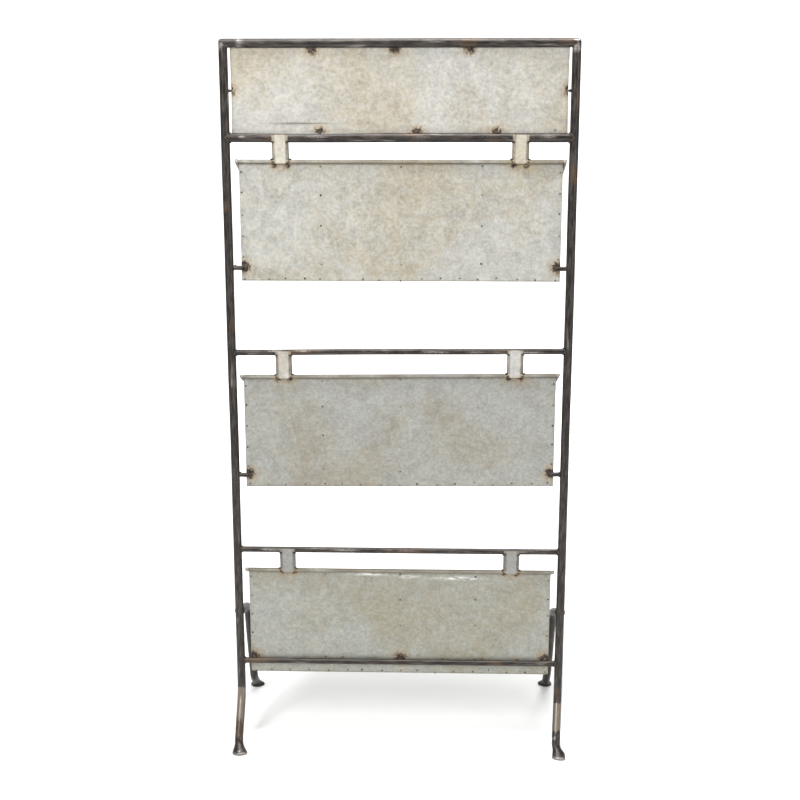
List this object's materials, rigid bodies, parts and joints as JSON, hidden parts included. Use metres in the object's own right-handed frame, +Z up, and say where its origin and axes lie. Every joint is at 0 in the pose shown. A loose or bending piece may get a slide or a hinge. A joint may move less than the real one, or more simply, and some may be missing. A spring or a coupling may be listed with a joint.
{
  "type": "brochure rack",
  "caption": "Free-standing welded tube rack with a sign panel over stacked sheet-metal brochure pockets, each hung from a crossbar by folded straps and split by dividers.",
  "frame": {"origin": "on the floor, under the middle of the rack's outline", "axes": "+Z up; +Y towards the customer's side, where the pockets open; +X to the right when the back is looked at"},
  "size_m": [0.765, 0.407, 1.566],
  "materials": {
    "bare_steel": "bare mill steel, dark brown-grey with ground bright patches",
    "galvanised_sheet": "dull galvanised sheet with fine spangle and light stains",
    "strap_steel": "folded galvanised strap, satin",
    "weld": "as welded, dark with heat tint"
  },
  "bodies": {
    "root": {"foot_crossbar": "bare_steel", "foot_crossbar_welds": "weld", "front_leg_welds": "weld", "left_front_leg": "bare_steel", "left_upright": "bare_steel", "lower_crossbar": "bare_steel", "lower_crossbar_welds": "weld", "lower_divider_1": "galvanised_sheet", "lower_divider_2": "galvanised_sheet", "lower_divider_3": "galvanised_sheet", "lower_left_hanger": "strap_steel", "lower_pocket_back": "galvanised_sheet", "lower_pocket_left_end": "galvanised_sheet", "lower_pocket_right_end": "galvanised_sheet", "lower_pocket_tray": "galvanised_sheet", "lower_pocket_welds": "weld", "lower_right_hanger": "strap_steel", "lower_rim_wires": "bare_steel", "lower_spot_welds": "weld", "middle_crossbar": "bare_steel", "middle_crossbar_welds": "weld", "middle_divider_1": "galvanised_sheet", "middle_divider_2": "galvanised_sheet", "middle_divider_3": "galvanised_sheet", "middle_left_hanger": "strap_steel", "middle_left_stub": "bare_steel", "middle_pocket_back": "galvanised_sheet", "middle_pocket_left_end": "galvanised_sheet", "middle_pocket_right_end": "galvanised_sheet", "middle_pocket_tray": "galvanised_sheet", "middle_pocket_welds": "weld", "middle_right_hanger": "strap_steel", "middle_right_stub": "bare_steel", "middle_rim_wires": "bare_steel", "middle_spot_welds": "weld", "right_front_leg": "bare_steel", "right_upright": "bare_steel", "sign_panel": "galvanised_sheet", "sign_rail": "bare_steel", "sign_rail_welds": "weld", "sign_tack_welds": "weld", "top_rail": "bare_steel", "upper_divider_1": "galvanised_sheet", "upper_divider_2": "galvanised_sheet", "upper_divider_3": "galvanised_sheet", "upper_left_hanger": "strap_steel", "upper_left_stub": "bare_steel", "upper_pocket_back": "galvanised_sheet", "upper_pocket_left_end": "galvanised_sheet", "upper_pocket_right_end": "galvanised_sheet", "upper_pocket_tray": "galvanised_sheet", "upper_pocket_welds": "weld", "upper_right_hanger": "strap_steel", "upper_right_stub": "bare_steel", "upper_rim_wires": "bare_steel", "upper_spot_welds": "weld"}
  },
  "joints": []
}
